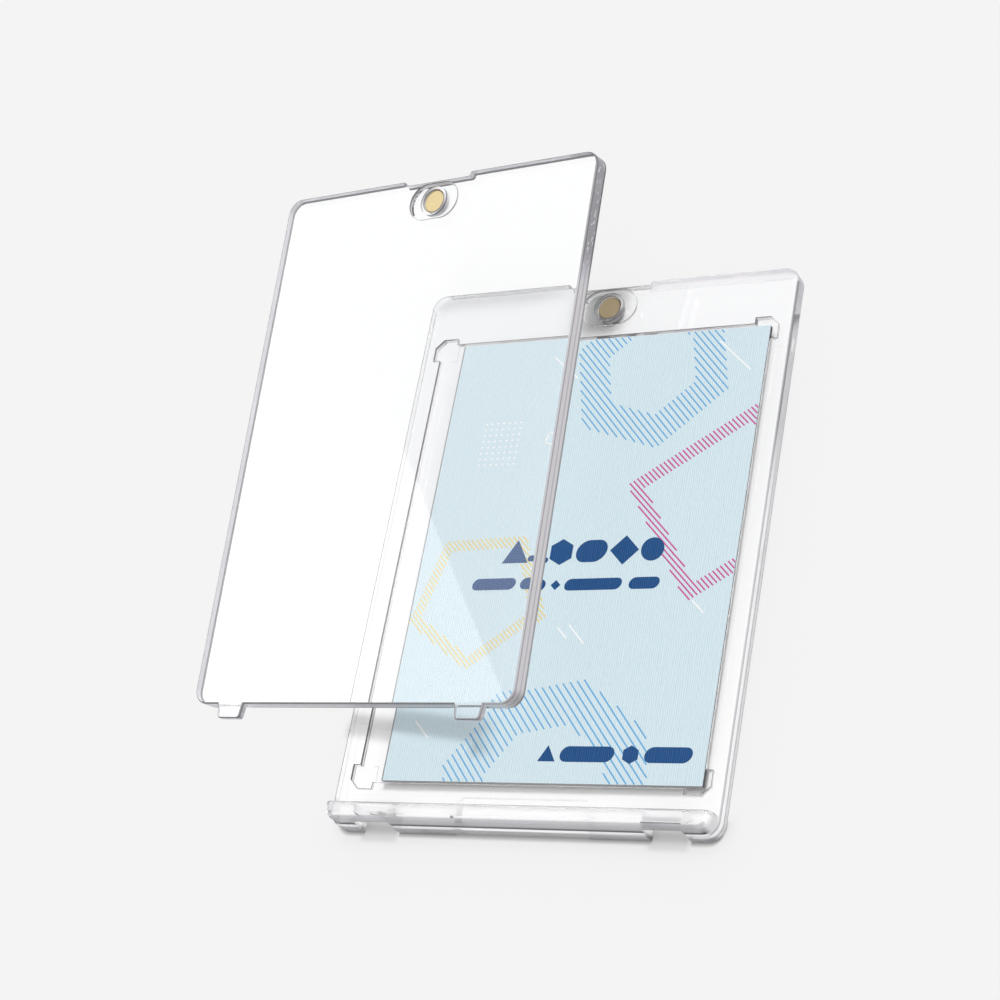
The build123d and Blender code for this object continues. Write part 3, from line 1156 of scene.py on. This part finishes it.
# %% [markdown]
# ## Floor, backdrop and light
#
# Clear plastic shows only what it bends and mirrors, so the light is planned as reflections. The
# world is an even white. Two soft suns stand a little behind the holder: a steep one for the
# shade close under things, and one at more of a slant, whose shadows show in front of them.
# Behind glass the floor and the world are as light as they can be, so that the plates stay clear.

# %% Floor
FLOOR_GREY = (0.905, 0.905, 0.905, 1.0)
FLOOR_BEHIND_GLASS = (1.0, 1.0, 1.0, 1.0)
FLOOR_HALF = 6.0
# just under the holder, so that the two never share a plane
FLOOR_DROP = 0.02


def floor_finish():
    """Pale paper, and pure white where it is seen through a plate."""
    material, tree = new_finish("floor_paper")
    colour = blend(tree, ray(tree, "Is Transmission Ray"), FLOOR_GREY, FLOOR_BEHIND_GLASS)
    shader = step(tree, "ShaderNodeBsdfDiffuse", {"Color": colour})
    show(tree, shader.outputs[0])
    return material


floor_shape = bmesh.new()
bmesh.ops.create_grid(floor_shape, x_segments=8, y_segments=8, size=FLOOR_HALF)
bmesh.ops.translate(floor_shape, verts=floor_shape.verts, vec=(0, 0, -FLOOR_DROP * MM))
floor = new_object("floor", mesh_of("floor", floor_shape, floor_finish()))
print("floor", 2 * FLOOR_HALF, "m wide")

# %% World and suns
WORLD_SHARE = 0.38
BEHIND_GLASS = 1.0
MIRRORED = 1.45
# name, where it stands (slope from straight up), its share of the light, spread in degrees
SUNS = (
    ("slanting_sun", (0.12, 0.40, 1.0), 0.40, 12),
    ("steep_sun", (0.02, 0.10, 1.0), 0.22, 16),
)

world = bpy.data.worlds.new("studio")
bpy.context.scene.world = world
world.use_nodes = True
sky = world.node_tree
sky.nodes.clear()
straight = any_of(sky, ray(sky, "Is Camera Ray"), ray(sky, "Is Transmission Ray"))
bounced = sums(sky, "SUBTRACT", ray(sky, "Is Glossy Ray"), ray(sky, "Is Transmission Ray"), clamp=True)
level = sums(sky, "MULTIPLY_ADD", straight, BEHIND_GLASS - WORLD_SHARE, WORLD_SHARE)
level = sums(sky, "MULTIPLY_ADD", bounced, MIRRORED - WORLD_SHARE, level)
light = step(sky, "ShaderNodeBackground", {"Color": (1.0, 1.0, 1.0, 1.0), "Strength": level})
step(sky, "ShaderNodeOutputWorld", {"Surface": light.outputs[0]})

for name, slope, share, spread in SUNS:
    from_there = Vector(slope).normalized()
    sun_data = bpy.data.lights.new(name, "SUN")
    sun_data.energy = share * math.pi / from_there.z
    sun_data.angle = math.radians(spread)
    sun = new_object(name, sun_data)
    sun.rotation_euler = from_there.to_track_quat("Z", "Y").to_euler()
    print(name, "strength", round(sun_data.energy, 3))

# %% [markdown]
# ## The sheen
#
# A polished plate mirrors whatever stands where the camera's view bounces to. A large bright panel
# stands there, and its edge draws the diagonal sheen on the cover. The law of reflection gives its
# corners: each is found by sending a ray from the camera to a chosen point of the cover and on from
# there. Only mirror rays meet the panel.

# %% Sheen panel
PANEL_DISTANCE = 4.0
PANEL_LEVEL = 3.5
# points of the cover, across and along: the ends of the sheen's edge, and corners past the cover's
SHEEN_TOP = (-34.8, 51.6)
SHEEN_BOTTOM = (36.7, -52.1)
PAST_LOWER_LEFT = (-SHELL_WIDTH / 2 - 3, -COVER_LENGTH / 2 - 5)
PAST_UPPER_LEFT = (-SHELL_WIDTH / 2 - 3, COVER_LENGTH / 2 + 3)


def on_cover(across, along):
    """A point of the cover's mating face, in metres."""
    return (Vector(COVER_PLACE) + COVER_TURN @ Vector((across, along, 0))) * MM


def mirrored(across, along):
    """Where the camera's view of that point of the cover lands, one panel's distance further on."""
    point = on_cover(across, along)
    ahead = (point - CAMERA_PLACE).normalized()
    normal = COVER_TURN @ Vector((0, 0, 1))
    onward = ahead - 2 * ahead.dot(normal) * normal
    return point + onward * PANEL_DISTANCE


def panel(name, corners, strength):
    """A flat light that only mirror rays meet."""
    shape = bmesh.new()
    shape.faces.new([shape.verts.new(corner) for corner in corners])
    material, tree = new_finish(name)
    show(tree, step(tree, "ShaderNodeEmission", {"Strength": strength}).outputs[0])
    board = new_object(name, mesh_of(name, shape, material))
    board.visible_camera = False
    board.visible_diffuse = False
    board.visible_shadow = False
    board.visible_transmission = False
    return board


sheen_corners = [
    mirrored(*point) for point in (SHEEN_TOP, SHEEN_BOTTOM, PAST_LOWER_LEFT, PAST_UPPER_LEFT)
]
panel("sheen_panel", sheen_corners, PANEL_LEVEL)
print("sheen panel starts at", [round(v, 3) for v in sheen_corners[0]])
